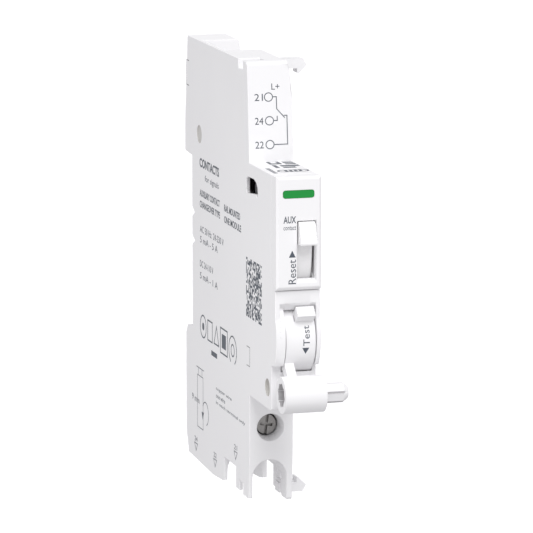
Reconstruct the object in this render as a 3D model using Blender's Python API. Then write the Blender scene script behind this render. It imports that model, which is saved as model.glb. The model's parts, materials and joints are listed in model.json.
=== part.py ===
"""Fault-signalling changeover contact module, 9 mm wide, for a DIN-rail breaker.

Frame: X across the width (the breaker stands on the +X side), Y through the depth with
the front at -Y, Z up. The origin is on the rail seat, level with the rail's centre line.
Lengths below are in millimetres and become metres where a mesh is made.
"""

import math

import bmesh
import bpy
from mathutils import Matrix, Vector

MM = 0.001

# Width. The tub carries the left wall and the rim; the side cover closes the right side.
LEFT, RIGHT = -4.5, 4.5
WALL = 0.9
PARTING = 2.6
GAP = 0.1
INNER_LEFT, INNER_RIGHT = LEFT + WALL, RIGHT - WALL
BEYOND = 1.0  # how far a cutter runs past the face that it cuts

# Heights and depths of the case
TOP, NOSE_TOP, NOSE_BOTTOM = 42.25, 22.7, -23.6
RAIL_TOP, RAIL_BOTTOM = 17.82, -17.8
FACE, BROW_FACE, LOWER_FACE = -62.85, -61.8, -59.2
CAP_SEAM = -59.1
POCKET_FRONT, POCKET_REAR, POCKET_FLOOR = -23.1, -6.3, 36.0
POCKET_WALL = 0.7

# Axes that run across the module, as (Y, Z)
DRUM_AXIS = (-55.45, -9.65)
FLANGE_AXIS = (-52.8, -9.0)
RESET_AXIS = (-46.0, 8.5)
ROCKER_AXIS = (-36.0, 2.0)
PIN_R = 0.8
SLACK = 0.3

# Rotating pieces at the front
DRUM_R, FLANGE_R = 7.05, 9.95
DRUM_SPLIT, DRUM_SPLIT_GAP = -0.55, 0.15
DRUM_LEFT, DRUM_RIGHT = -2.4, 3.55
HANDLE_REACH, HANDLE_ANGLE = 13.54, -45.2
HANDLE_R, HANDLE_LEFT, HANDLE_RIGHT = 3.6, -4.2, 4.1
ARM_THICKNESS = 2.0
KEY_R, KEY_TIP, KEY_FIT = 2.15, 9.0, 0.12
KEY_TURN = 10.0
KNOB_R, KNOB_LOW, KNOB_HIGH = 9.5, 33.0, 48.3
KNOB_LEFT, KNOB_RIGHT = -0.35, 3.25
RIBS, RIB_RISE = 4, 0.13
SHIELD_R, SHIELD_THICKNESS = 15.3, 1.0
SHIELD_LOW, SHIELD_HIGH = -24.0, 44.0
SHIELD_LEFT, SHIELD_RIGHT = -0.75, 3.08
RESET_LEFT, RESET_RIGHT = -0.1, 3.15
SLOT_LEFT, SLOT_RIGHT, SLOT_LOW, SLOT_HIGH = -0.4, 3.55, 2.0, 14.12
STRIP_CORNER = 0.45

# Terminals: the wires come up through the channel in the foot
SCREW_X, SCREW_Z = -0.1, -30.35
SCREW_HEAD_R, SCREW_R = 2.0, 1.3
SCREW_FACE, SCREW_SEAT, SCREW_END = -40.2, -38.7, -33.6
WIRE_Y = (-33.4, -16.8, -1.8)
HOOK_REAR, HOOK_FRONT = -35.7, -38.6

WHITE = (0.83, 0.84, 0.85)
GREEN = (0.0, 0.25, 0.04)
STEEL = (0.32, 0.32, 0.33)
BRASS = (0.62, 0.45, 0.18)
SILVER = (0.75, 0.74, 0.71)
AMBER = (0.62, 0.44, 0.24)


def clear_scene():
    for obj in list(bpy.data.objects):
        bpy.data.objects.remove(obj)


def collection(name):
    found = bpy.data.collections.new(name)
    bpy.context.scene.collection.children.link(found)
    return found


def material(name, colour, roughness, metallic=0.0):
    made = bpy.data.materials.new(name)
    made.use_nodes = True
    shader = made.node_tree.nodes["Principled BSDF"]
    shader.inputs["Base Color"].default_value = (*colour, 1.0)
    shader.inputs["Roughness"].default_value = roughness
    shader.inputs["Metallic"].default_value = metallic
    return made


# ---- outlines -----------------------------------------------------------------------


def around(axis, radius, angle):
    """A point by its angle above the forward direction, which is -Y."""
    turn = math.radians(angle)
    return axis[0] - radius * math.cos(turn), axis[1] + radius * math.sin(turn)


def arc(axis, radius, start, end, steps):
    return [around(axis, radius, start + (end - start) * i / steps) for i in range(steps + 1)]


def box_outline(low, high):
    return [(low[0], low[1]), (high[0], low[1]), (high[0], high[1]), (low[0], high[1])]


def arch_outline(centre, radius, spring, foot, steps=12):
    """An upright arch: a half round on two straight legs, as (X, Z)."""
    turns = [math.pi * i / steps for i in range(steps + 1)]
    crown = [(centre + radius * math.cos(t), spring + radius * math.sin(t)) for t in turns]
    return [(centre + radius, foot), *crown, (centre - radius, foot)]


def polygon(sides, radius, turn=0.0, ratio=1.0):
    """A regular polygon, or a star where every other corner comes in to radius * ratio."""
    points = []
    for i in range(sides):
        angle = math.radians(turn + 360.0 * i / sides)
        reach = radius * (ratio if i % 2 else 1.0)
        points.append((reach * math.cos(angle), reach * math.sin(angle)))
    return points


def ribbed(top, bottom, count):
    """A saw-toothed grip from its top point down to its bottom point, as (Y, Z)."""
    start, way = Vector(top), Vector(bottom) - Vector(top)
    out = Vector((way.y, -way.x)).normalized() * RIB_RISE
    points = []
    for i in range(count):
        points.append(tuple(start + way * (i + 0.02) / count))
        points.append(tuple(start + way * (i + 0.90) / count + out))
    return points


def key_outline(centre, radius):
    """A six-sided bar with a groove along each of its edges, as (Y, Z)."""
    points = []
    for i in range(6):
        edge = KEY_TURN + 60.0 * i
        for turn, reach in ((edge - 7.5, 0.985), (edge, 0.74), (edge + 7.5, 0.985)):
            points.append(around(centre, radius * reach, turn))
    return points


# ---- solids -------------------------------------------------------------------------

ACROSS = Matrix(((0, 0, 1), (1, 0, 0), (0, 1, 0))).to_4x4()  # outline (Y, Z), depth along X
FORWARD = Matrix(((1, 0, 0), (0, 0, -1), (0, 1, 0))).to_4x4()  # outline (X, Z), depth along -Y
UPWARD = Matrix.Identity(4)  # outline (X, Y), depth along Z


def prism(name, outline, low, high, turn=ACROSS):
    """A flat outline drawn as a filled 2D curve and extruded from low to high."""
    curve = bpy.data.curves.new(name, "CURVE")
    curve.dimensions = "2D"
    curve.fill_mode = "BOTH"
    curve.extrude = abs(high - low) / 2 * MM
    spline = curve.splines.new("POLY")
    spline.points.add(len(outline) - 1)
    for point, (u, v) in zip(spline.points, outline):
        point.co = (u * MM, v * MM, 0.0, 1.0)
    spline.use_cyclic_u = True
    drawn = bpy.data.objects.new(name, curve)
    bpy.context.scene.collection.objects.link(drawn)
    bpy.context.view_layer.update()
    graph = bpy.context.evaluated_depsgraph_get()
    mesh = bpy.data.meshes.new_from_object(drawn.evaluated_get(graph))
    bpy.data.objects.remove(drawn)
    bpy.data.curves.remove(curve)
    middle = (low + high) / 2 * (-1 if turn is FORWARD else 1)
    mesh.transform(turn @ Matrix.Translation((0.0, 0.0, middle * MM)))
    return finish_mesh(name, mesh)


def finish_mesh(name, mesh):
    shape = bmesh.new()
    shape.from_mesh(mesh)
    bmesh.ops.remove_doubles(shape, verts=shape.verts, dist=1e-6)
    bmesh.ops.recalc_face_normals(shape, faces=shape.faces)
    shape.to_mesh(mesh)
    shape.free()
    mesh.name = name
    return bpy.data.objects.new(name, mesh)


def block(name, low, high):
    """A box between two corners given as (X, Y, Z)."""
    mesh = bpy.data.meshes.new(name)
    shape = bmesh.new()
    bmesh.ops.create_cube(shape, size=1.0)
    size = Vector(high) - Vector(low)
    middle = (Vector(high) + Vector(low)) / 2
    place = Matrix.Translation(middle * MM) @ Matrix.Diagonal((*(size * MM), 1.0))
    bmesh.ops.transform(shape, matrix=place, verts=shape.verts)
    shape.to_mesh(mesh)
    shape.free()
    return bpy.data.objects.new(name, mesh)


def cone(name, start, end, radius, end_radius=None, sides=32):
    """A round bar, or a cone, from one point to another, both given as (X, Y, Z)."""
    mesh = bpy.data.meshes.new(name)
    shape = bmesh.new()
    way = Vector(end) - Vector(start)
    bmesh.ops.create_cone(
        shape, cap_ends=True, segments=sides, depth=way.length * MM, radius1=radius * MM,
        radius2=(radius if end_radius is None else end_radius) * MM,
    )
    middle = (Vector(start) + Vector(end)) / 2 * MM
    turn = way.to_track_quat("Z", "Y").to_matrix().to_4x4()
    bmesh.ops.transform(shape, matrix=Matrix.Translation(middle) @ turn, verts=shape.verts)
    shape.to_mesh(mesh)
    shape.free()
    return bpy.data.objects.new(name, mesh)


def cross_bar(name, axis, low, high, radius, sides=32):
    """A round bar along X."""
    return cone(name, (low, *axis), (high, *axis), radius, sides=sides)


def coil(name, axis, low, high, radius, turns, wire):
    """A coil of wire round an axis along X."""
    curve = bpy.data.curves.new(name, "CURVE")
    curve.dimensions = "3D"
    curve.bevel_depth = wire / 2 * MM
    curve.bevel_resolution = 1
    curve.use_fill_caps = True
    spline = curve.splines.new("POLY")
    steps = int(turns * 14)
    spline.points.add(steps)
    for i, point in enumerate(spline.points):
        y, z = around(axis, radius, 360.0 * turns * i / steps)
        x = low + wire / 2 + (high - low - wire) * i / steps
        point.co = (x * MM, y * MM, z * MM, 1.0)
    return bpy.data.objects.new(name, curve)


def change(target, operation, tools, workshop):
    """Unites the target with the tools or cuts them from it, one Boolean each."""
    for tool in tools:
        workshop.objects.link(tool)
        tool.hide_render = True
        tool.display_type = "WIRE"
        modifier = target.modifiers.new(tool.name, "BOOLEAN")
        modifier.operation = operation
        modifier.object = tool
    return target


# ---- the case -----------------------------------------------------------------------


def case_outline():
    """The side view of the whole case behind the front cap, with the top pocket."""
    shoulder = [(-41.2, TOP), (-41.9, 41.7), (-42.5, 34.9), (-43.4, NOSE_TOP)]
    brow = [(CAP_SEAM + GAP, NOSE_TOP), (CAP_SEAM + GAP, 2.95), (-61.5, 0.42), (BROW_FACE, 0.42)]
    cheek = arc(FLANGE_AXIS, FLANGE_R, 25.2, -33.0, 10)
    chin = [(LOWER_FACE, -14.6), (-59.05, -23.2), (-58.6, NOSE_BOTTOM), (-43.65, NOSE_BOTTOM)]
    front_foot = [(-43.3, -36.0), (-42.8, -45.0), (-42.4, -45.35), (-39.6, -45.35)]
    rear_foot = [(-38.9, -44.6), (-27.6, -44.3), (-25.5, -44.7), (-23.0, -45.3), (-16.0, -45.8)]
    lower_back = [(3.34, -45.14), (5.2, -40.5), (5.2, -19.9), (3.9, -18.15), (0.0, RAIL_BOTTOM)]
    notches = [(0.0, -0.5), (-1.9, 0.4), (0.0, 1.3), (0.0, 5.4), (-1.9, 6.3), (0.0, 7.2)]
    upper_back = [(0.0, RAIL_TOP), (5.5, 18.1), (5.5, 24.35), (3.33, TOP)]
    pocket = [(POCKET_REAR, TOP), (POCKET_REAR, POCKET_FLOOR)]
    pocket += [(POCKET_FRONT, POCKET_FLOOR), (POCKET_FRONT, TOP)]
    rear = lower_back + notches + upper_back + pocket
    return shoulder + brow + cheek + chin + front_foot + rear_foot + rear


def hollow_outline():
    """The room inside the case, in the same view."""
    top = [(2.3, 41.2), (-5.3, 41.2), (-5.3, 35.0), (-24.1, 35.0), (-24.1, 41.2), (-34.6, 41.2)]
    nose = [(-34.6, 39.3), (-41.0, 39.3), (-41.4, 34.9), (-42.3, 21.7)]
    nose += [(-60.0, 21.7), (-60.0, 3.9), (-58.0, 3.9)]
    terminal = [(-58.0, -22.6), (-42.6, -22.6), (-42.6, -25.6), (-38.9, -25.6), (-38.9, -36.0)]
    floor = [(-23.8, -36.0), (-23.8, -38.5), (4.2, -38.5), (4.2, -20.3), (3.3, -19.0)]
    rail = [(-3.0, -19.0), (-3.0, 19.0), (4.4, 19.0), (4.4, 24.2)]
    return top + nose + terminal + floor + rail


def wire_way_cutters(name):
    """The channel under the case, its side openings and the wire holes in its ceiling."""
    front = arch_outline(-0.2, 3.5, -40.4, -47.0)
    rear = arch_outline(-0.2, 3.6, -43.0, -47.0)
    cutters = [
        prism(name + "_front_vault", front, -46.0, -24.6, FORWARD),
        prism(name + "_rear_vault", rear, -24.8, 1.5, FORWARD),
        block(name + "_side_opening", (-6.0, -33.35, -47.0), (6.0, -24.7, -40.2)),
    ]
    for y in WIRE_Y:
        cutters.append(cone(f"{name}_wire_hole{-y:.0f}", (-0.2, y, -41.0), (-0.2, y, -35.0), 1.7))
    return cutters


def shield_room(name):
    """The sector that the reset lever's shield sweeps."""
    sweep = arc(RESET_AXIS, SHIELD_R + SLACK, -50.0, 50.0, 16) + [RESET_AXIS]
    return prism(name + "_shield_room", sweep, SHIELD_LEFT - SLACK, SHIELD_RIGHT + SLACK)


def front_cutters(name):
    """Room for the drum, the arm and the reset shield behind the front."""
    chamfer = [(-63.5, -2.05), (BROW_FACE, -2.05), (-60.3, -3.6), (-57.0, -3.6)]
    window = chamfer + [(-57.0, -15.9), (-63.5, -15.9)]
    return [
        prism(name + "_window", window, DRUM_LEFT - 0.2, INNER_RIGHT + 0.1),
        cross_bar(name + "_drum_room", DRUM_AXIS, DRUM_LEFT - 0.2, INNER_RIGHT + 0.1, 7.3, 64),
        shield_room(name),
    ]


def funnel_cutters(name):
    """The screwdriver's way to the terminal screw."""
    mouth, throat, back = (SCREW_X, -44.0, SCREW_Z), (SCREW_X, -41.0, SCREW_Z), -38.0
    return [
        cone(name + "_funnel", mouth, throat, 2.9, 2.35),
        cone(name + "_tunnel", (SCREW_X, -41.2, SCREW_Z), (SCREW_X, back, SCREW_Z), 2.35),
    ]


def pin_sockets(name, x_low, x_high):
    """Blind holes that hold the ends of the three pins."""
    axes = {"drum": DRUM_AXIS, "reset": RESET_AXIS, "rocker": ROCKER_AXIS}
    return [
        cross_bar(f"{name}_{key}_socket", axis, x_low, x_high, PIN_R + SLACK, 20)
        for key, axis in axes.items()
    ]


def taper_cutter():
    """The right top edge leans in towards the top along the whole depth."""
    outline = [(RIGHT + 0.12, 32.0)]
    for i in range(7):
        turn = math.radians(12 + 60 * i / 6)
        outline.append((3.2 + 1.3 * math.cos(turn), 33.5 + 9.3 * math.sin(turn)))
    outline += [(6.5, 43.5), (6.5, 32.0)]
    return prism("top_taper", outline, -46.0, 7.0, FORWARD)


def trip_opening():
    """The side opening where a neighbour's trip pin reaches the trip lever, as (Y, Z)."""
    return [(-41.2, 16.9), (-41.6, 16.45), (-48.2, 17.2), (-49.0, 16.5), (-49.5, 17.4),
            (-49.3, 18.6), (-48.3, 19.5), (-46.8, 19.9), (-42.0, 19.8), (-41.2, 19.2)]


def left_housing(workshop):
    tub = prism("left_housing", case_outline(), LEFT, PARTING)
    pocket_wall = box_outline((-24.0, 35.4), (-5.5, TOP))
    cheek = arc(FLANGE_AXIS, FLANGE_R, 38.5, -33.0, 12)
    cheek += [(LOWER_FACE, -14.6), (-59.1, -23.0), (-49.0, -23.0), (-49.0, -2.9)]
    hollow = prism("tub_hollow", hollow_outline(), INNER_LEFT, PARTING + BEYOND)
    change(tub, "DIFFERENCE", [hollow], workshop)
    parts = [
        prism("tub_pocket_wall", pocket_wall, LEFT, LEFT + POCKET_WALL),
        prism("tub_cheek", cheek, INNER_LEFT - 0.2, DRUM_LEFT - 0.2),
    ]
    change(tub, "UNION", parts, workshop)
    step = [(-63.0, -2.05), (BROW_FACE, -2.05), (-60.8, -2.92)]
    step += arc(FLANGE_AXIS, FLANGE_R, 36.0, 25.2, 5) + [(-63.0, -4.76)]
    cuts = front_cutters("tub") + wire_way_cutters("tub") + funnel_cutters("tub")
    cuts += pin_sockets("tub", INNER_LEFT - 0.5, DRUM_LEFT)
    cuts += [
        prism("tub_window_step", step, -3.5, DRUM_LEFT),
        block("tub_hook_slot", (-6.0, -38.9, 40.4), (0.0, -35.5, 43.5)),
        block("tub_hook_notch", (-6.0, -38.9, -47.0), (-2.5, -35.9, -42.3)),
        prism("tub_trip_opening", trip_opening(), -6.0, INNER_LEFT + 0.2),
        cross_bar("tub_upper_mark", (-5.8, 23.0), -5.5, LEFT + 0.3, 1.85, 48),
        cross_bar("tub_lower_mark", (-56.4, -19.4), -5.5, LEFT + 0.8, 1.75, 48),
        block("tub_leg_trim", (-6.0, -44.0, -47.0), (-3.0, -38.95, -44.65)),
    ]
    return change(tub, "DIFFERENCE", cuts, workshop)


def hook(name, z_face, side):
    """A snap hook that reaches past the right wall; side is +1 on top, -1 at the foot."""
    profile = [(3.0, 0.0), (7.9, 0.0), (8.6, -1.3), (7.07, -2.85), (6.66, -2.85), (6.66, -1.9)]
    profile += [(3.0, -1.9)]
    outline = [(x, z_face + side * z) for x, z in profile]
    return prism(name, outline, HOOK_FRONT, HOOK_REAR, FORWARD)


def side_cover(workshop):
    cover = prism("side_cover", case_outline(), PARTING + GAP, RIGHT)
    hollow = prism("cover_hollow", hollow_outline(), PARTING - BEYOND, INNER_RIGHT)
    opening = [(-60.0, 3.0), (-60.0, 21.7), (-50.0, 21.7), (-50.0, 3.0)]
    cuts = [hollow, prism("cover_front", opening, PARTING - BEYOND, INNER_RIGHT)]
    cuts += front_cutters("cover") + wire_way_cutters("cover") + funnel_cutters("cover")
    cuts += pin_sockets("cover", INNER_RIGHT - BEYOND, INNER_RIGHT + 0.5)
    cuts += [
        taper_cutter(),
        prism("cover_trip_slot", box_outline((-49.4, 16.4), (-42.8, 19.4)), 3.0, 6.0),
        block("cover_hook_window", (3.0, -39.2, -42.4), (6.0, -35.6, -40.6)),
    ]
    change(cover, "DIFFERENCE", cuts, workshop)
    hooks = [hook("upper_hook", TOP - 0.1, 1), hook("lower_hook", -44.85, -1)]
    return change(cover, "UNION", hooks, workshop)


def slot_cutter():
    """The reset slot, whose lower, left and right walls lean in towards the back."""
    slot = prism("cap_slot", box_outline((SLOT_LEFT, SLOT_LOW), (SLOT_RIGHT, SLOT_HIGH)),
                 -63.1, -60.9, FORWARD)
    deep = {SLOT_LEFT: 0.25, SLOT_RIGHT: -0.45}
    for vertex in slot.data.vertices:
        if vertex.co.y < -62.0 * MM:
            continue
        side = min(deep, key=lambda x: abs(vertex.co.x - x * MM))
        vertex.co.x += deep[side] * MM
        if vertex.co.z < (SLOT_LOW + SLOT_HIGH) / 2 * MM:
            vertex.co.z += 1.3 * MM
    return slot


def front_cap(workshop):
    """The cap over the nose, with the reset slot and the recess for the green strip."""
    outline = [(CAP_SEAM - GAP, NOSE_TOP), (-62.35, NOSE_TOP), (-62.7, 22.55), (FACE, 22.2)]
    outline += [(FACE, 1.25), (-62.2, 0.62), (-61.65, 0.62), (CAP_SEAM - GAP, 3.1)]
    cap = prism("front_cap", outline, LEFT, RIGHT)
    inside = [(-58.0, 21.8), (-61.75, 21.8), (-61.75, 1.95), (-61.45, 1.75), (-58.0, 4.6)]
    cuts = [
        prism("cap_inside", inside, INNER_LEFT, INNER_RIGHT),
        slot_cutter(),
        prism("cap_strip_recess", strip_outline(STRIP_CORNER + 0.05), -64.0, -62.55, FORWARD),
        shield_room("cap"),
    ]
    for side in (-1, 1):
        edge = [(side * 4.7, FACE + 0.6), (side * 3.9, FACE - 0.2), (side * 4.9, FACE - 0.4)]
        cuts.append(prism(f"cap_edge{side}", edge, -1.0, 24.0, UPWARD))
    return change(cap, "DIFFERENCE", cuts, workshop)


def strip_outline(corner):
    """The rounded outline of the green strip, as (X, Z), for a corner radius."""
    points = []
    corners = ((2.55, 19.65, 0), (-2.75, 19.65, 90), (-2.75, 19.05, 180), (2.55, 19.05, 270))
    for x, z, start in corners:
        for i in range(4):
            turn = math.radians(start + 30 * i)
            points.append((x + corner * math.cos(turn), z + corner * math.sin(turn)))
    return points


def green_strip():
    return prism("green_strip", strip_outline(STRIP_CORNER), -62.9, -62.65, FORWARD)


# ---- the moving pieces --------------------------------------------------------------


def toggle_handle(workshop):
    """The coupling handle: a hub disc, an arm and the cross cylinder on its end."""
    right = DRUM_SPLIT - DRUM_SPLIT_GAP / 2
    hub = cross_bar("toggle_handle", DRUM_AXIS, DRUM_LEFT, right, DRUM_R, 64)
    end = around(DRUM_AXIS, HANDLE_REACH, HANDLE_ANGLE)
    half = ARM_THICKNESS / 2
    lean = math.radians(HANDLE_ANGLE)
    step = (half * math.sin(lean), half * math.cos(lean))
    root = around(DRUM_AXIS, DRUM_R - 2.0, HANDLE_ANGLE)
    arm = [(root[0] + step[0], root[1] + step[1]), (end[0] + step[0], end[1] + step[1]),
           (end[0] - step[0], end[1] - step[1]), (root[0] - step[0], root[1] - step[1])]
    parts = [
        prism("handle_arm", arm, DRUM_LEFT, right),
        cross_bar("handle_cylinder", end, HANDLE_LEFT, HANDLE_RIGHT, HANDLE_R, 48),
    ]
    change(hub, "UNION", parts, workshop)
    star = [(end[0] + y, end[1] + z) for y, z in polygon(16, 2.5, KEY_TURN, 0.84)]
    key = key_outline(end, KEY_R + KEY_FIT)
    bore = cross_bar("handle_bore", DRUM_AXIS, -3.5, 1.0, PIN_R + 0.2, 24)
    cuts = [prism("handle_socket", star, -5.5, -0.2), prism("handle_key_hole", key, 0.6, 5.5)]
    return change(hub, "DIFFERENCE", cuts + [bore], workshop)


def coupling_key(workshop):
    """The grooved six-sided key that turns the breaker's own handle."""
    end = around(DRUM_AXIS, HANDLE_REACH, HANDLE_ANGLE)
    key = prism("coupling_key", key_outline(end, KEY_R), 0.9, KEY_TIP)
    tip = cone("key_tip", (-6.0, *end), (10.77, *end), 11.75, 0.0, 48)
    return change(key, "INTERSECT", [tip], workshop)


def test_lever(workshop):
    left = DRUM_SPLIT + DRUM_SPLIT_GAP / 2
    drum = cross_bar("test_lever", DRUM_AXIS, left, DRUM_RIGHT, DRUM_R, 64)
    tip_low = around(DRUM_AXIS, KNOB_R, KNOB_LOW)
    tip_high = around(DRUM_AXIS, KNOB_R - 0.15, KNOB_HIGH)
    root_low = around(DRUM_AXIS, DRUM_R - 0.6, KNOB_LOW)
    root_high = around(DRUM_AXIS, DRUM_R - 0.6, KNOB_HIGH)
    outline = [root_high, *ribbed(tip_high, tip_low, RIBS), root_low]
    knob = prism("test_knob", outline, KNOB_LEFT, KNOB_RIGHT)
    change(drum, "UNION", [knob], workshop)
    cuts = [
        cross_bar("test_bore", DRUM_AXIS, -2.0, 5.0, PIN_R + 0.2, 24),
        cross_bar("test_spring_room", DRUM_AXIS, 1.3, 5.0, 3.4, 32),
    ]
    return change(drum, "DIFFERENCE", cuts, workshop)


def reset_lever(workshop):
    """A curved shield that closes the slot, with its knob, its spoke and its hub."""
    outer = arc(RESET_AXIS, SHIELD_R, SHIELD_LOW, SHIELD_HIGH, 20)
    inner = arc(RESET_AXIS, SHIELD_R - SHIELD_THICKNESS, SHIELD_HIGH, SHIELD_LOW, 20)
    lever = prism("reset_lever", outer + inner, SHIELD_LEFT, SHIELD_RIGHT)
    knob = [(-60.9, 13.9), (-62.85, 13.95), *ribbed((-63.3, 13.65), (-64.6, 9.9), RIBS + 1)]
    knob += [(-64.5, 9.5), (-60.95, 9.5)]
    spoke = [(-45.0, 7.3), (-60.9, 8.6), (-60.9, 12.6), (-45.0, 9.9)]
    parts = [
        prism("reset_knob", knob, RESET_LEFT, RESET_RIGHT),
        prism("reset_spoke", spoke, 0.4, 2.2),
        cross_bar("reset_hub", RESET_AXIS, 0.3, 2.3, 2.3, 28),
    ]
    change(lever, "UNION", parts, workshop)
    bore = cross_bar("reset_bore", RESET_AXIS, -1.0, 3.5, PIN_R + 0.2, 24)
    return change(lever, "DIFFERENCE", [bore], workshop)


def trip_lever(workshop):
    """The lever that the breaker's trip pin pushes; its own pin reaches the breaker."""
    tip = (-44.5, 17.9)
    arm = [(-47.2, 8.6), (-45.6, 18.2), (-43.6, 18.2), (-44.8, 8.4)]
    lever = cross_bar("trip_lever", RESET_AXIS, -3.3, -1.6, 2.3, 28)
    parts = [
        prism("trip_arm", arm, -3.3, -1.6),
        cross_bar("trip_pin", tip, -3.3, 6.4, 0.95, 20),
    ]
    change(lever, "UNION", parts, workshop)
    bore = cross_bar("trip_bore", RESET_AXIS, -4.5, 0.0, PIN_R + 0.2, 24)
    return change(lever, "DIFFERENCE", [bore], workshop)


# ---- the contacts and terminals -----------------------------------------------------


def bent_strip(name, path, thickness, low, high):
    """A flat strip bent at right angles along the points of a path, as (Y, Z)."""
    left, right = [], []
    for i, (y, z) in enumerate(path):
        before = Vector(path[i]) - Vector(path[i - 1]) if i else None
        after = Vector(path[i + 1]) - Vector(path[i]) if i < len(path) - 1 else None
        normals = [Vector((-d.y, d.x)).normalized() for d in (before, after) if d is not None]
        offset = sum(normals, Vector((0.0, 0.0)))
        offset *= thickness / 2 / (offset.dot(normals[0]))
        left.append((y + offset.x, z + offset.y))
        right.append((y - offset.x, z - offset.y))
    return prism(name, left + right[::-1], low, high)


def contact_rocker(workshop):
    y, z = ROCKER_AXIS
    outline = [(y - 5.0, z - 0.9), (y - 5.0, z + 0.9), (y - 2.2, z + 1.6), (y - 2.2, z + 4.4),
               (y + 2.2, z + 4.4), (y + 2.2, z + 1.9), (y + 9.0, z + 1.4), (y + 9.0, z + 0.5)]
    outline += [(y + 2.0, z + 0.5), (y + 1.2, z - 1.9), (y - 1.2, z - 1.9), (y - 2.2, z - 0.9)]
    rocker = prism("contact_rocker", outline, -2.2, 2.0)
    bore = cross_bar("rocker_bore", ROCKER_AXIS, -4.0, 4.0, PIN_R + 0.2, 24)
    return change(rocker, "DIFFERENCE", [bore], workshop)


def rivet(name, y, z_low, z_high, radius):
    return cone(name, (-0.1, y, z_low), (-0.1, y, z_high), radius, sides=24)


def moving_contact(workshop):
    y, z = ROCKER_AXIS
    blade = block("contact_blade", (-1.6, y + 3.0, z - 0.2), (1.4, y + 18.5, z + 0.2))
    hole = cone("blade_hole", (-0.1, y + 17.0, z - 2), (-0.1, y + 17.0, z + 2), 0.95, sides=24)
    change(blade, "DIFFERENCE", [hole], workshop)
    tip = rivet("moving_contact_tip", y + 17.0, z - 1.0, z + 1.0, 1.3)
    waist = cone("tip_waist_out", (-0.1, y + 17.0, z - 0.4), (-0.1, y + 17.0, z + 0.4), 2.0)
    core = cone("tip_waist_in", (-0.1, y + 17.0, z - 1), (-0.1, y + 17.0, z + 1), 0.75, sides=24)
    change(waist, "DIFFERENCE", [core], workshop)
    change(tip, "DIFFERENCE", [waist], workshop)
    return [blade, tip]


def fixed_contacts():
    y, z = ROCKER_AXIS[0] + 17.0, ROCKER_AXIS[1]
    upper, lower = z + 2.75, z - 4.35
    closed = [(y - 1.6, upper), (-6.0, upper), (-6.0, -30.0), (-3.2, -30.0), (-3.2, -35.0)]
    opened = [(y - 1.6, lower), (-13.4, lower), (-13.4, -29.0), (-18.4, -29.0), (-18.4, -35.0)]
    return [
        bent_strip("rest_contact_strip", closed, 0.5, -1.7, 1.5),
        bent_strip("work_contact_strip", opened, 0.5, -1.7, 1.5),
        rivet("rest_contact_tip", y, z + 1.3, upper - 0.35, 1.3),
        rivet("work_contact_tip", y, lower + 0.35, lower + 1.6, 1.3),
    ]


def common_strip(workshop):
    path = [(-35.1, -34.5), (-35.1, -6.0), (-32.2, -6.0), (-32.2, 1.2)]
    strip = bent_strip("common_strip", path, 0.6, -1.7, 1.5)
    start, end = (SCREW_X, -37.0, SCREW_Z), (SCREW_X, -33.0, SCREW_Z)
    hole = cone("strip_screw_hole", start, end, SCREW_R + 0.3)
    return change(strip, "DIFFERENCE", [hole], workshop)


def push_in_clamp(name, y):
    """A wire clamp of bent spring steel over one of the rear wire holes."""
    path = [(y + 1.0, -35.2), (y + 1.0, -31.2), (y - 0.8, -31.2), (y - 0.3, -34.6)]
    return bent_strip(name, path, 0.35, -1.6, 1.4)


def terminal_screw(workshop):
    x, z = SCREW_X, SCREW_Z
    screw = cone("terminal_screw", (x, SCREW_FACE, z), (x, SCREW_SEAT, z), SCREW_HEAD_R)
    shank = cone("screw_shank", (x, SCREW_SEAT - 0.2, z), (x, SCREW_END, z), SCREW_R, sides=24)
    change(screw, "UNION", [shank], workshop)
    slots = []
    for name, reach, turn in (("screw_slot", 2.5, -82.0), ("screw_cross", 1.3, 8.0)):
        slot = block(name, (-reach, SCREW_FACE - 0.5, -0.3), (reach, SCREW_FACE + 0.8, 0.3))
        slot.data.transform(Matrix.Rotation(math.radians(turn), 4, "Y"))
        slot.data.transform(Matrix.Translation((x * MM, 0.0, z * MM)))
        slots.append(slot)
    return change(screw, "DIFFERENCE", slots, workshop)


def terminal_cage(workshop):
    low, high = (-2.7, -36.9, -33.6), (2.5, -30.6, -27.2)
    cage = block("terminal_cage", low, high)
    room = block("cage_room", (-2.0, -35.7, -35.0), (1.8, -31.6, -26.0))
    start, end = (SCREW_X, -38.0, SCREW_Z), (SCREW_X, -35.0, SCREW_Z)
    hole = cone("cage_thread", start, end, SCREW_R + 0.3, sides=24)
    return change(cage, "DIFFERENCE", [room, hole], workshop)


# ---- assembly -----------------------------------------------------------------------


def add(objects, parts, finish, pivot=None):
    """Links the pieces, gives them their material and hangs them on their pivot."""
    for obj in objects:
        parts.objects.link(obj)
        obj.data.materials.clear()
        obj.data.materials.append(finish)
        if obj.type == "MESH":
            obj.data.shade_smooth()
            obj.data.set_sharp_from_angle(angle=math.radians(32))
        if pivot is not None:
            obj.parent = pivot
            obj.matrix_parent_inverse = pivot.matrix_world.inverted()


def pivot(name, parts, place):
    empty = bpy.data.objects.new(name, None)
    empty.empty_display_size = 0.004
    empty.location = Vector(place) * MM
    parts.objects.link(empty)
    bpy.context.view_layer.update()
    return empty


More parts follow.
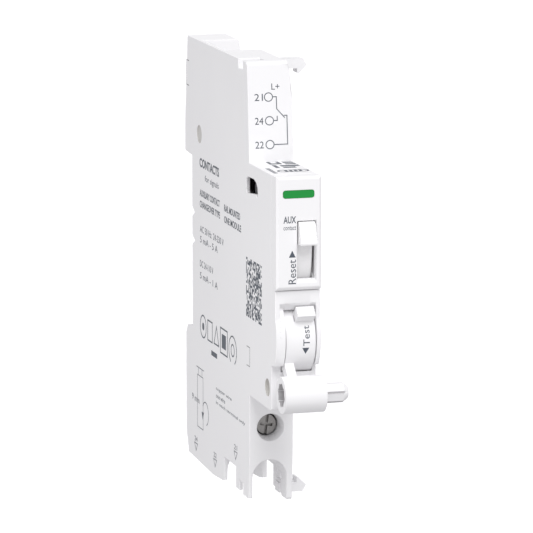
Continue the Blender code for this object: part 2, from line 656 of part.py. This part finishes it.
def build():
    clear_scene()
    parts = collection("fault_contact_module")
    workshop = collection("cutters")
    white = {
        name: material(name, WHITE, 0.42)
        for name in ("left_housing", "side_cover", "front_cap", "toggle", "key", "test", "reset")
    }
    steel = material("steel_pin", STEEL, 0.3, 1.0)
    spring_steel = material("spring_steel", STEEL, 0.25, 1.0)
    brass = material("contact_brass", BRASS, 0.3, 1.0)
    silver = material("contact_silver", SILVER, 0.25, 1.0)
    inner_plastic = material("inner_plastic", AMBER, 0.5)
    screw_steel = material("screw_steel", STEEL, 0.35, 1.0)

    add([left_housing(workshop)], parts, white["left_housing"])
    add([side_cover(workshop)], parts, white["side_cover"])
    add([front_cap(workshop)], parts, white["front_cap"])
    add([green_strip()], parts, material("green_ink", GREEN, 0.4))
    pins = {"drum_axle": DRUM_AXIS, "reset_axle": RESET_AXIS, "rocker_pin": ROCKER_AXIS}
    pin_left = {"drum_axle": -2.9}
    for name, axis in pins.items():
        pin = cross_bar(name, axis, pin_left.get(name, -3.9), 3.9, PIN_R, 20)
        add([pin], parts, steel)
    springs = [
        coil("test_spring", DRUM_AXIS, 1.55, 3.4, 2.2, 3.5, 0.4),
        coil("reset_spring", RESET_AXIS, -1.35, 0.05, 1.7, 2.5, 0.4),
    ]
    add(springs, parts, spring_steel)
    add([common_strip(workshop), *fixed_contacts()], parts, brass)
    clamps = [push_in_clamp("middle_wire_clamp", WIRE_Y[1])]
    clamps.append(push_in_clamp("rear_wire_clamp", WIRE_Y[2]))
    add(clamps, parts, spring_steel)

    drum_pivot = pivot("drum_pivot", parts, (0.0, *DRUM_AXIS))
    add([toggle_handle(workshop)], parts, white["toggle"], drum_pivot)
    add([coupling_key(workshop)], parts, white["key"], drum_pivot)
    add([test_lever(workshop)], parts, white["test"], drum_pivot)
    reset_pivot = pivot("reset_pivot", parts, (0.0, *RESET_AXIS))
    add([reset_lever(workshop)], parts, white["reset"], reset_pivot)
    add([trip_lever(workshop)], parts, inner_plastic, reset_pivot)
    rocker_pivot = pivot("rocker_pivot", parts, (0.0, *ROCKER_AXIS))
    add([contact_rocker(workshop)], parts, inner_plastic, rocker_pivot)
    add(moving_contact(workshop), parts, silver, rocker_pivot)
    screw_pivot = pivot("screw_pivot", parts, (SCREW_X, SCREW_FACE, SCREW_Z))
    add([terminal_screw(workshop), terminal_cage(workshop)], parts, screw_steel, screw_pivot)


build()
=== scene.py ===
"""Looks of the fault-signalling contact module: moulded white plastic, its prints and its metal.

Frame: X across the width, the front at -Y, Z up, origin on the rail seat. Lengths are in
millimetres here and become metres where a mesh is made.
"""

import json
import math
import random

import bmesh
import bpy
from mathutils import Matrix, Vector

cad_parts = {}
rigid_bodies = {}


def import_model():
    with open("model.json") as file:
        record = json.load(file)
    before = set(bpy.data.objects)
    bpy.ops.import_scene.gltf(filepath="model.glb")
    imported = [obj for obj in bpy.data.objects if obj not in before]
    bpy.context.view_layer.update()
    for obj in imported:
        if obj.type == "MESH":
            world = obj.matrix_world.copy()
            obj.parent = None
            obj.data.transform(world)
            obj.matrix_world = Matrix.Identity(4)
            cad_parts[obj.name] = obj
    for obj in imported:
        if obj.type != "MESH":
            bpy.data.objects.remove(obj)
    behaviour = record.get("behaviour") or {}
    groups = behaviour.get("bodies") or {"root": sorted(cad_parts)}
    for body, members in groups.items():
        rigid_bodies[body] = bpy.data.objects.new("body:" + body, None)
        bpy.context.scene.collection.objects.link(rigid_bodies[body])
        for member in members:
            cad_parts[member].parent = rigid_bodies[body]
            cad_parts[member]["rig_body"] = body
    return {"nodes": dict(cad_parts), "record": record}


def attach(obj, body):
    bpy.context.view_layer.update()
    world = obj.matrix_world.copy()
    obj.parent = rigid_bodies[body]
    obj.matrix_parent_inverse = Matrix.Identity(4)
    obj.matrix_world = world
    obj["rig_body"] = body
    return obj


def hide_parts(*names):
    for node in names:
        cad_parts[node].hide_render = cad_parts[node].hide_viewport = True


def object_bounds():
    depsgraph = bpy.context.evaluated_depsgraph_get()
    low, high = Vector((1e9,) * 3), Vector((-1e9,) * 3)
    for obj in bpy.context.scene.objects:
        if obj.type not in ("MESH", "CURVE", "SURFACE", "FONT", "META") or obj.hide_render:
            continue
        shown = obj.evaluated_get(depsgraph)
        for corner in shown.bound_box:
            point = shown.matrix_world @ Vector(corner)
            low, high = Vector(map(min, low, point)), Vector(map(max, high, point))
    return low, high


MM = 0.001
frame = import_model()
cad_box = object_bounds()

# The camera: where it looks, from how far, and its angles to the left and above
TARGET = Vector((11.4156, 0.0, -6.15)) * MM
DISTANCE = 857.43 * MM
AZIMUTH, ELEVATION = math.radians(15.8996), math.radians(10.2152)
LENS, SENSOR = 279.61, 36.0

# The studio: the floor's height and glow, the sky, the sun and a small lamp beside the nose
FLOOR, FLOOR_SIZE = -130.0, 30.0
FLOOR_GLOW = 0.10
SKY_LEVEL = 0.70
SKY_SLOPE = (-0.09, -0.03, 0.0)
KEY_POWER, KEY_SPREAD, KEY_FROM = 1.70, math.radians(40.0), (0.0, -0.63, 0.776)
NOSE_LIGHT, NOSE_LIGHT_SIZE, NOSE_POWER = (-0.075, -0.065, 0.0), 0.04, 0.006
NOSE_AIM = (0.0, -0.05, 0.0)


def camera():
    look = Vector((math.sin(AZIMUTH) * math.cos(ELEVATION),
                   math.cos(AZIMUTH) * math.cos(ELEVATION), -math.sin(ELEVATION)))
    data = bpy.data.cameras.new("camera")
    data.lens, data.sensor_width = LENS, SENSOR
    data.clip_end = 20.0
    made = bpy.data.objects.new("camera", data)
    made.location = TARGET - look * DISTANCE
    made.rotation_euler = look.to_track_quat("-Z", "Y").to_euler()
    bpy.context.scene.collection.objects.link(made)
    bpy.context.scene.camera = made


def studio():
    """A white sky, a little brighter from the left and the front, a sun and a lamp over a pale floor."""
    world = bpy.data.worlds.new("studio")
    world.use_nodes = True
    tree = world.node_tree
    background = tree.nodes["Background"]
    background.inputs["Color"].default_value = (0.99, 0.985, 1.0, 1.0)
    place = tree.nodes.new("ShaderNodeTexCoord")
    slope = tree.nodes.new("ShaderNodeVectorMath")
    slope.operation = "DOT_PRODUCT"
    slope.inputs[1].default_value = SKY_SLOPE
    level = tree.nodes.new("ShaderNodeMath")
    level.inputs[1].default_value = SKY_LEVEL
    tree.links.new(place.outputs["Generated"], slope.inputs[0])
    tree.links.new(slope.outputs["Value"], level.inputs[0])
    tree.links.new(level.outputs[0], background.inputs["Strength"])
    bpy.context.scene.world = world
    sun = bpy.data.lights.new("key", "SUN")
    sun.energy, sun.angle = KEY_POWER, KEY_SPREAD
    key = bpy.data.objects.new("key", sun)
    key.rotation_euler = (-Vector(KEY_FROM)).to_track_quat("-Z", "Y").to_euler()
    bpy.context.scene.collection.objects.link(key)
    soft = bpy.data.lights.new("nose_light", "AREA")
    soft.shape, soft.size, soft.energy = "DISK", NOSE_LIGHT_SIZE, NOSE_POWER
    nose = bpy.data.objects.new("nose_light", soft)
    nose.location = NOSE_LIGHT
    aim = Vector(NOSE_AIM) - Vector(NOSE_LIGHT)
    nose.rotation_euler = aim.to_track_quat("-Z", "Y").to_euler()
    bpy.context.scene.collection.objects.link(nose)
    bpy.ops.mesh.primitive_plane_add(size=FLOOR_SIZE, location=(0.0, 0.0, FLOOR * MM))
    floor = bpy.context.object
    floor.name = "floor"
    floor.visible_diffuse = floor.visible_glossy = False
    paint = plain("floor_paint", (0.97, 0.97, 0.98), 0.95)
    shader = paint.node_tree.nodes["Principled BSDF"]
    shader.inputs["Emission Color"].default_value = (1.0, 1.0, 1.0, 1.0)
    shader.inputs["Emission Strength"].default_value = FLOOR_GLOW
    floor.data.materials.append(paint)
    bpy.context.scene.view_settings.view_transform = "Standard"


def plain(name, colour, roughness, metallic=0.0):
    made = bpy.data.materials.new(name)
    made.use_nodes = True
    shader = made.node_tree.nodes["Principled BSDF"]
    shader.inputs["Base Color"].default_value = (*colour, 1.0)
    shader.inputs["Roughness"].default_value = roughness
    shader.inputs["Metallic"].default_value = metallic
    return made


def grained(name, colour, second, roughness, metallic, grain, depth, stretch=(1, 1, 1)):
    """A surface with a slow drift of colour, uneven gloss and a fine grain in its relief."""
    made = plain(name, colour, roughness, metallic)
    tree = made.node_tree
    shader = tree.nodes["Principled BSDF"]
    place = tree.nodes.new("ShaderNodeTexCoord")
    scaled = tree.nodes.new("ShaderNodeMapping")
    scaled.inputs["Scale"].default_value = stretch
    tree.links.new(place.outputs["Object"], scaled.inputs["Vector"])
    drift = tree.nodes.new("ShaderNodeTexNoise")
    drift.inputs["Scale"].default_value = 60.0
    drift.inputs["Detail"].default_value = 3.0
    tree.links.new(scaled.outputs["Vector"], drift.inputs["Vector"])
    tint = tree.nodes.new("ShaderNodeValToRGB")
    tint.color_ramp.elements[0].color = (*second, 1.0)
    tint.color_ramp.elements[0].position = 0.3
    tint.color_ramp.elements[1].color = (*colour, 1.0)
    tint.color_ramp.elements[1].position = 0.7
    tree.links.new(drift.outputs["Fac"], tint.inputs["Fac"])
    tree.links.new(tint.outputs["Color"], shader.inputs["Base Color"])
    fine = tree.nodes.new("ShaderNodeTexNoise")
    fine.inputs["Scale"].default_value = 1.0 / (grain * MM)
    fine.inputs["Detail"].default_value = 4.0
    tree.links.new(scaled.outputs["Vector"], fine.inputs["Vector"])
    gloss = tree.nodes.new("ShaderNodeMapRange")
    gloss.inputs["To Min"].default_value = roughness - 0.05
    gloss.inputs["To Max"].default_value = roughness + 0.05
    tree.links.new(fine.outputs["Fac"], gloss.inputs["Value"])
    tree.links.new(gloss.outputs["Result"], shader.inputs["Roughness"])
    relief = tree.nodes.new("ShaderNodeBump")
    relief.inputs["Strength"].default_value = 0.35
    relief.inputs["Distance"].default_value = depth * MM
    tree.links.new(fine.outputs["Fac"], relief.inputs["Height"])
    tree.links.new(relief.outputs["Normal"], shader.inputs["Normal"])
    return made


# ---- moulded pieces ------------------------------------------------------------------

ROUNDING, FINE_ROUNDING = 0.18, 0.08
SLIVER = 0.15  # an edge beside a shorter one than this stays sharp
ROUNDED_FROM = 32.0  # degrees between two faces whose edge is rounded
CREASE, CAP_CREASE = 28.0, 5.0
NEARLY_FLAT = 0.8
CASE_SEAM, CASE_GAP = 2.6, 0.1
DRUM_SEAM, DRUM_HALF_GAP = -0.55, 0.075
HAIRLINE = 0.002
SIDE_SKIN = 0.02
LEFT_FACE = -4.5


def near(value, target):
    return abs(value - target * MM) < 0.004 * MM


def seam_edge(edge, seam):
    return seam is not None and all(near(v.co.x, seam) for v in edge.verts)


def crowded(edge, seam):
    """True where the edge ends at the seam on a corner of more than three edges."""
    return seam is not None and any(
        near(v.co.x, seam) and len(v.link_edges) > 3 for v in edge.verts
    )


def on_strip(edge):
    """True round the recess of the green strip, whose edges stay sharp."""
    return all(
        abs(v.co.x) < 3.5 * MM and v.co.y < -62.4 * MM and 18.4 * MM < v.co.z < 20.3 * MM
        for v in edge.verts
    )


def on_hook(edge):
    """True at a snap hook, where the cover's edges are too short to round."""
    low = 3.0 if edge.verts[0].co.z > 0 else 2.9
    return any(
        v.co.x > low * MM and -39.3 * MM < v.co.y < -35.2 * MM and abs(v.co.z) > 40.0 * MM
        for v in edge.verts
    )


def evaluated_mesh(made):
    bpy.context.view_layer.update()
    return bpy.data.meshes.new_from_object(made.evaluated_get(bpy.context.evaluated_depsgraph_get()))


def flat_sided(made):
    """The mesh with its normals weighted by area, so that flat walls look flat up to their edges."""
    weighted = made.modifiers.new("weighted", "WEIGHTED_NORMAL")
    weighted.mode = "FACE_AREA"
    weighted.weight = 100
    weighted.keep_sharp = True
    done = evaluated_mesh(made)
    made.modifiers.clear()
    return done


def softened(node, finish, seam=None, new_seam=None, skin=0.0, leave=None, width=ROUNDING,
             flat=NEARLY_FLAT, crease=CREASE):
    """The CAD piece again with its edges rounded. Short edges get a narrower rounding.

    Edges in the plane X = seam stay sharp, and that plane moves to new_seam, so that the
    joint with the next piece closes to a hairline. skin moves the left face inwards, and
    leave(edge) tells which other edges stay sharp. Faces that meet at less than flat
    degrees are joined first, and edges over crease degrees are shaded as sharp.
    """
    source = frame["nodes"][node]
    mesh = source.data.copy()
    shape = bmesh.new()
    shape.from_mesh(mesh)
    bmesh.ops.remove_doubles(shape, verts=shape.verts, dist=2e-6)
    bmesh.ops.dissolve_limit(shape, angle_limit=math.radians(flat), verts=shape.verts,
                             edges=shape.edges, delimit=set())
    weight = shape.edges.layers.float.new("bevel_weight_edge")
    for edge in shape.edges:
        if len(edge.link_faces) != 2 or edge.calc_face_angle(0.0) < math.radians(ROUNDED_FROM):
            continue
        if seam_edge(edge, seam) or crowded(edge, seam) or (leave and leave(edge)):
            continue
        shortest = min(e.calc_length() for v in edge.verts for e in v.link_edges)
        if shortest > SLIVER * MM:
            edge[weight] = min(1.0, 0.35 * shortest / (width * MM))
    for vertex in shape.verts:
        if seam is not None and near(vertex.co.x, seam):
            vertex.co.x = new_seam * MM
        if skin and vertex.co.x < (LEFT_FACE + 0.005) * MM:
            vertex.co.x += skin * MM
    shape.to_mesh(mesh)
    shape.free()
    mesh.materials.clear()
    mesh.materials.append(finish)
    made = bpy.data.objects.new(node + "_moulded", mesh)
    bpy.context.scene.collection.objects.link(made)
    bevel = made.modifiers.new("rounding", "BEVEL")
    bevel.limit_method = "WEIGHT"
    bevel.width = width * MM
    bevel.segments = 3
    bevel.use_clamp_overlap = False
    done = evaluated_mesh(made)
    made.modifiers.clear()
    made.data = done
    low, high = cad_box
    for vertex in done.vertices:
        for axis in range(3):
            vertex.co[axis] = min(max(vertex.co[axis], low[axis]), high[axis])
    done.shade_smooth()
    done.set_sharp_from_angle(angle=math.radians(crease))
    made.data = flat_sided(made)
    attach(made, source["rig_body"])
    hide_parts(node)
    return made


# ---- prints --------------------------------------------------------------------------

INK = 0.014  # thickness of a print
LIFT = 0.002  # its clearance from the face below
DRUM_AXIS, DRUM_R = (-55.45, -9.65), 7.05
SLICES, SLICE_FOOT, SLICE = 26, -12.1, 0.25  # the cuts that let the test print bend
HANDLE_END = (-64.99, -19.26)
CAP_FACE, LEDGE_TOP, SIDE_FACE = -62.85, 22.7, LEFT_FACE + SIDE_SKIN


def circle(centre, radius, steps=28):
    turns = [2 * math.pi * i / steps for i in range(steps)]
    return [(centre[0] + radius * math.cos(t), centre[1] + radius * math.sin(t)) for t in turns]


def ring(centre, radius, width):
    return [circle(centre, radius + width / 2), circle(centre, radius - width / 2)]


def bar(low, high):
    return [(low[0], low[1]), (high[0], low[1]), (high[0], high[1]), (low[0], high[1])]


def arc(centre, radius, start, end, steps=12):
    turns = [math.radians(start + (end - start) * i / steps) for i in range(steps + 1)]
    return [(centre[0] + radius * math.cos(t), centre[1] + radius * math.sin(t)) for t in turns]


def stroke(path, width, closed=False):
    """The outline of a line drawn along a path: one loop, or two where the path is closed."""
    points = [Vector(p) for p in path]
    count = len(points)
    left, right = [], []
    for i, point in enumerate(points):
        ways = []
        if closed or i > 0:
            ways.append((point - points[i - 1]).normalized())
        if closed or i < count - 1:
            ways.append((points[(i + 1) % count] - point).normalized())
        normals = [Vector((-w.y, w.x)) for w in ways]
        offset = sum(normals, Vector((0.0, 0.0)))
        offset *= width / 2 / max(offset.dot(normals[0]), 0.35)
        left.append(tuple(point + offset))
        right.append(tuple(point - offset))
    if closed:
        return [left, right]
    return [left + right[::-1]]


def taken(curve):
    """The mesh of a curve or text, with the curve removed."""
    drawn = bpy.data.objects.new("drawn", curve)
    bpy.context.scene.collection.objects.link(drawn)
    mesh = evaluated_mesh(drawn)
    bpy.data.objects.remove(drawn)
    bpy.data.curves.remove(curve)
    return mesh


def shapes(*loops):
    """Flat filled shapes from closed loops in millimetres; a loop inside another is a hole."""
    curve = bpy.data.curves.new("shapes", "CURVE")
    curve.dimensions = "2D"
    curve.fill_mode = "BOTH"
    curve.extrude = INK / 2
    for loop in loops:
        spline = curve.splines.new("POLY")
        spline.points.add(len(loop) - 1)
        for point, (u, v) in zip(spline.points, loop):
            point.co = (u, v, 0.0, 1.0)
        spline.use_cyclic_u = True
    return taken(curve)


def words(text, low, high, weight=0.0, upward=False):
    """A line of text that fills the box from low to high. Upward text reads towards +v."""
    curve = bpy.data.curves.new("words", "FONT")
    curve.body = text
    curve.resolution_u = 3
    curve.extrude = INK / 2
    curve.offset = weight
    mesh = taken(curve)
    us, vs = [v.co.x for v in mesh.vertices], [v.co.y for v in mesh.vertices]
    for vertex in mesh.vertices:
        along = (vertex.co.x - min(us)) / (max(us) - min(us))
        above = (vertex.co.y - min(vs)) / (max(vs) - min(vs))
        if upward:
            along, above = 1.0 - above, along
        vertex.co.x = low[0] + along * (high[0] - low[0])
        vertex.co.y = low[1] + above * (high[1] - low[1])
    return mesh


def printed(name, node, surface, drawings, finish):
    """Joins the drawings into one thin print and lays it on a surface of a CAD node."""
    shape = bmesh.new()
    for drawing in drawings:
        shape.from_mesh(drawing)
        bpy.data.meshes.remove(drawing)
    bmesh.ops.remove_doubles(shape, verts=shape.verts, dist=2e-4)
    for vertex in shape.verts:
        u, v, w = vertex.co
        vertex.co = surface(u, v, w + INK / 2 + LIFT) * MM
    bmesh.ops.recalc_face_normals(shape, faces=shape.faces)
    mesh = bpy.data.meshes.new(name)
    shape.to_mesh(mesh)
    shape.free()
    mesh.materials.append(finish)
    made = bpy.data.objects.new(name, mesh)
    bpy.context.scene.collection.objects.link(made)
    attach(made, frame["nodes"][node]["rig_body"])


def on_upper_front(u, v, w):
    if v > 34.9:
        return Vector((u, -42.5 + 0.6 * (v - 34.9) / 6.8 - w, v))
    return Vector((u, -42.5 - 0.9 * (34.9 - v) / 12.2 - w, v))


def on_cap(u, v, w):
    return Vector((u, CAP_FACE - w, v))


def on_ledge(u, v, w):
    return Vector((u, -v, LEDGE_TOP + w))


def on_side(u, v, w):
    return Vector((SIDE_FACE - w, -u, v))


def on_drum(u, v, w):
    """v is the height of the point before the print is wrapped round the drum."""
    turn = (v - DRUM_AXIS[1]) / DRUM_R
    reach = DRUM_R + w
    return Vector((u, DRUM_AXIS[0] - reach * math.cos(turn), DRUM_AXIS[1] + reach * math.sin(turn)))


def front_prints(ink):
    """The contact diagram on the upper front: three terminals and the changeover blade."""
    line = 0.17
    drawings = [words("L+", (0.35, 36.75), (2.0, 37.95))]
    for text, u, v in (("21", -0.29, 35.34), ("24", -0.18, 30.72), ("22", -0.16, 26.07)):
        drawings.append(shapes(*ring((u, v), 0.82, line)))
        drawings.append(words(text, (-3.12, v - 0.68), (-1.42, v + 0.68)))
    loops = []
    loops += stroke([(0.63, 35.36), (1.3, 35.36), (1.33, 33.0), (2.95, 31.2)], line)
    loops += stroke([(0.74, 30.73), (1.4, 30.73), (1.4, 31.62)], line)
    loops += stroke([(2.75, 31.67), (3.38, 31.66), (3.42, 26.05), (0.76, 26.05)], line)
    drawings.append(shapes(*loops))
    printed("upper_front_print", "left_housing", on_upper_front, drawings, ink)


def cap_prints(ink):
    drawings = [
        words("Reset", (-2.11, 1.93), (-0.61, 6.67), upward=True),
        shapes([(-2.03, 7.1), (-0.7, 7.1), (-1.37, 8.45)]),
        words("AUX", (-3.1, 13.75), (-0.62, 15.1), weight=0.02),
        words("contact", (-3.1, 12.45), (-0.62, 13.2)),
    ]
    printed("cap_print", "front_cap", on_cap, drawings, ink)


def test_prints(ink):
    """The word and the arrow on the test drum, cut fine enough to follow its curve."""
    drawings = [
        words("Test", (1.0, -10.35), (2.3, -6.4), upward=True),
        shapes([(0.8, -10.75), (1.5, -12.0), (2.2, -10.75)]),
    ]
    for drawing in drawings:
        sliced = bmesh.new()
        sliced.from_mesh(drawing)
        for i in range(SLICES):
            level = (0.0, SLICE_FOOT + SLICE * i, 0.0)
            everything = sliced.verts[:] + sliced.edges[:] + sliced.faces[:]
            bmesh.ops.bisect_plane(sliced, geom=everything, plane_co=level, plane_no=(0, 1, 0))
        sliced.to_mesh(drawing)
        sliced.free()
    printed("test_print", "test_lever", on_drum, drawings, ink)


def ledge_prints(ink):
    """Plain blocks on the ledge over the nose: nested squares, bars and a pill."""
    loops = [bar((-1.2, 42.5), (1.3, 46.8)), bar((-0.55, 43.7), (0.65, 45.6))]
    loops += [bar((-1.2, 47.8), (-0.4, 51.2)), bar((1.9, 42.5), (4.0, 43.7))]
    loops += [bar((1.9, 44.3), (4.0, 45.5)), bar((1.9, 46.1), (4.0, 47.2))]
    loops += [bar((0.3, 48.2), (4.0, 49.7)), bar((0.3, 50.3), (2.8, 51.6))]
    pill = arc((2.9, 55.3), 1.1, -80, 80) + arc((-0.9, 55.3), 1.1, 100, 260)
    loops += stroke(pill, 0.4, closed=True)
    for i in range(4):
        loops.append(bar((-0.7 + 0.95 * i, 54.6), (-0.1 + 0.95 * i, 56.0)))
    for i in range(6):
        loops.append(bar((-3.5, 51.4 + 1.1 * i), (-2.7, 52.1 + 1.1 * i)))
    printed("ledge_print", "left_housing", on_ledge, [shapes(*loops)], ink)


def code_block(low, high, cells):
    """A block of random dots, drawn row by row as bars; it is no real code."""
    pick = random.Random(11)
    wide, tall = (high[0] - low[0]) / cells, (high[1] - low[1]) / cells
    loops = []
    for row in range(cells):
        filled = [pick.random() < 0.56 for _ in range(cells)] + [False]
        start = None
        for column, on in enumerate(filled):
            if on and start is None:
                start = column
            elif not on and start is not None:
                foot = (low[0] + start * wide, low[1] + row * tall)
                head = (low[0] + column * wide, low[1] + (row + 0.97) * tall)
                loops.append(bar(foot, head))
                start = None
    return loops


def side_text():
    """Plain words and figures, in rows: (words, left, right, foot, cap height, weight)."""
    rows = (
        ("AUXILIARY CONTACT", 6.2, 21.5, 10.4, 1.4, 0.02),
        ("CHANGEOVER TYPE", 6.2, 21.7, 8.1, 1.4, 0.02),
        ("RAIL MOUNTED", 25.0, 36.8, 10.2, 1.4, 0.02),
        ("ONE MODULE", 25.0, 37.5, 7.9, 1.4, 0.02),
        ("AC 50 Hz  24-230 V", 6.3, 24.5, 3.0, 1.35, 0.0),
        ("5 mA - 5 A", 6.3, 19.9, 0.8, 1.35, 0.0),
        ("DC 24-110 V", 6.2, 16.4, -4.2, 1.35, 0.0),
        ("5 mA - 1 A", 6.2, 19.8, -6.7, 1.35, 0.0),
        ("copper wire", 18.5, 30.3, -27.7, 0.85, 0.0),
        ("one wire", 18.5, 25.4, -29.1, 0.85, 0.0),
        ("in each terminal only", 18.5, 40.3, -30.6, 0.85, 0.0),
        ("9 mm", -0.4, 5.4, -33.2, 1.3, 0.0),
    )
    return [
        words(text, (left, foot), (right, foot + height), weight=weight)
        for text, left, right, foot, height, weight in rows
    ]


def side_signs():
    """A row of plain signs: a ring with a dot, a frame, a triangle, a block, a dial."""
    loops = ring((8.6, -16.35), 2.3, 0.3) + [circle((8.6, -16.35), 0.8)]
    loops += stroke(bar((12.1, -18.4), (15.7, -14.3)), 0.3, True)
    loops += stroke([(17.0, -18.2), (18.9, -14.5), (20.7, -18.2)], 0.3, True)
    loops += stroke(bar((21.9, -19.1), (27.2, -14.0)), 0.32, True)
    loops += [bar((23.0, -18.0), (26.1, -15.1))]
    loops += stroke(arc((31.2, -17.0), 2.9, -60, 240), 0.3)
    loops += ring((31.2, -17.0), 1.2, 0.3)
    loops.append(bar((14.9, -21.05), (19.3, -20.05)))
    return loops


def wire_sign():
    """How far to strip the wire: a terminal, the wire under it and a turning arrow."""
    loops = stroke(bar((3.9, -38.1), (8.3, -27.2)), 0.16, True)
    loops += stroke([(4.7, -27.0), (4.7, -25.7)], 0.16)
    loops += stroke([(7.5, -27.0), (7.5, -25.7)], 0.16)
    loops += stroke([(3.2, -25.6), (9.0, -25.6)], 0.16)
    loops += stroke(arc((10.2, -34.3), 2.4, -70, 150), 0.2)
    loops.append([(7.2, -34.4), (8.9, -34.4), (8.0, -36.0)])
    return loops


def terminal_arrows():
    drawings, loops = [], []
    for text, u, foot in (("24", 2.6, -41.6), ("22", 17.6, -41.8), ("21", 33.3, -36.8)):
        drawings.append(words(text, (u - 1.1, foot), (u + 1.1, foot + 1.0)))
        tip = (u, foot - 2.0)
        loops += stroke([(u - 1.2, foot - 0.45), (u + 1.2, foot - 0.45), tip], 0.18, True)
    return drawings + [shapes(*loops)]


def side_prints(ink):
    drawings = side_text()
    drawings += [words("CONTACTS", (6.1, 16.4), (21.0, 18.3), weight=0.03)]
    drawings += [words("for signals", (10.2, 13.6), (20.8, 15.2))]
    drawings.append(shapes(*code_block((41.3, -8.0), (52.4, 3.8), 25)))
    drawings += [shapes(*side_signs()), shapes(*wire_sign())]
    drawings += terminal_arrows()
    printed("side_print", "left_housing", on_side, drawings, ink)


def moulded_marks(finish):
    """The pale brackets near the top and the front of the left side."""
    loops = stroke([(41.6, -14.0), (43.8, -14.0), (43.8, -17.8), (41.6, -17.8)], 0.16)
    loops += stroke([(-2.1, 37.1), (-4.1, 37.1), (-4.1, 32.0), (-2.1, 32.0)], 0.16)
    printed("bracket_marks", "left_housing", on_side, [shapes(*loops)], finish)


# ---- materials -----------------------------------------------------------------------


def paint_shade_in_round(piece, finish, centre, radius, low, high):
    """Gives the faces inside a round of a side view, from X low to high, their own darker finish:
    painted shade in a recess.
    """
    piece.data.materials.append(finish)
    index = len(piece.data.materials) - 1
    for face in piece.data.polygons:
        x, y, z = face.center / MM
        if math.hypot(y - centre[0], z - centre[1]) < radius and low < x < high:
            face.material_index = index


def metal(name, colour, second, roughness, stretch=(1, 1, 1)):
    return grained(name, colour, second, roughness, 1.0, 0.10, 0.004, stretch)


def finishes():
    """Each material slot of the record with the material that it wears."""
    return {
        "green_ink": grained("green_ink", (0.0, 0.283, 0.038), (0.0, 0.25, 0.03), 0.35, 0.0,
                             0.1, 0.003),
        "inner_plastic": grained("inner_plastic", (0.05, 0.05, 0.055), (0.035, 0.035, 0.04),
                                 0.5, 0.0, 0.12, 0.006),
        "pin_steel": metal("pin_steel", (0.55, 0.55, 0.56), (0.45, 0.45, 0.46), 0.28),
        "spring_steel": metal("spring_steel", (0.50, 0.50, 0.52), (0.40, 0.40, 0.42), 0.25),
        "contact_brass": metal("contact_brass", (0.70, 0.52, 0.24), (0.60, 0.43, 0.18), 0.3),
        "contact_silver": metal("contact_silver", (0.80, 0.79, 0.77), (0.68, 0.66, 0.62), 0.24),
        "screw_steel": metal("screw_steel", (0.37, 0.36, 0.35), (0.30, 0.295, 0.29), 0.42),
        "cage_steel": metal("cage_steel", (0.38, 0.38, 0.39), (0.30, 0.30, 0.31), 0.35),
    }


SLOTS = {m["node"]: m["material_slot"] for m in frame["record"]["subparts"]}

camera()
studio()
white = grained("moulded_white", (0.90, 0.895, 0.905), (0.885, 0.88, 0.892), 0.42, 0.0, 0.12,
                0.006)
tub = softened("left_housing", white, seam=CASE_SEAM, new_seam=CASE_SEAM, skin=SIDE_SKIN)
# Painted light: a lighter copy of the white plastic for the reset lever, so that its shield in the
# slot's shade looks brighter.
painted_light_white = grained("reset_white_painted_light", (0.97, 0.965, 0.97), (0.96, 0.955, 0.96), 0.42, 0.0, 0.12,
                 0.006)
# Painted shade: a matt grey, darker than the white plastic, on the faces inside the two round recesses
# of the left side.
painted_recess_shade = grained("matt_painted_recess_shade", (0.66, 0.65, 0.62), (0.60, 0.59, 0.57), 0.7, 0.0, 0.12, 0.01)
for centre, radius in (((-5.8, 23.0), 1.95), ((-56.4, -19.4), 1.85)):
    paint_shade_in_round(tub, painted_recess_shade, centre, radius, -4.44, -3.0)
softened("side_cover", white, seam=CASE_SEAM + CASE_GAP, new_seam=CASE_SEAM + HAIRLINE,
         leave=on_hook)
handle = softened("toggle_handle", white, seam=DRUM_SEAM - DRUM_HALF_GAP,
                  new_seam=DRUM_SEAM - HAIRLINE, width=FINE_ROUNDING)
# Painted shade: a mid grey on the faces inside the star socket at the handle's left end.
painted_socket_shade = grained("socket_painted_shade", (0.60, 0.59, 0.60), (0.56, 0.55, 0.56), 0.5, 0.0, 0.12, 0.006)
paint_shade_in_round(handle, painted_socket_shade, HANDLE_END, 2.46, -4.0, 0.0)
softened("test_lever", white, seam=DRUM_SEAM + DRUM_HALF_GAP, new_seam=DRUM_SEAM)
softened("front_cap", white, leave=on_strip, flat=0.0, crease=CAP_CREASE)
softened("reset_lever", painted_light_white)
key = softened("coupling_key", white)
# Painted shade: the same grey on the key's faces close to its axis, its groove among them.
paint_shade_in_round(key, painted_socket_shade, HANDLE_END, 1.85, 0.9, 7.6)
worn = finishes()
for node, slot in SLOTS.items():
    if slot in worn:
        carried = frame["nodes"][node].data
        carried.materials.clear()
        carried.materials.append(worn[slot])
ink = grained("print_ink", (0.088, 0.103, 0.128), (0.075, 0.088, 0.112), 0.5, 0.0, 0.1, 0.002)
pale = grained("bracket_grey", (0.20, 0.20, 0.21), (0.17, 0.17, 0.18), 0.5, 0.0, 0.1, 0.002)
front_prints(ink)
cap_prints(ink)
test_prints(ink)
ledge_prints(ink)
side_prints(ink)
moulded_marks(pale)
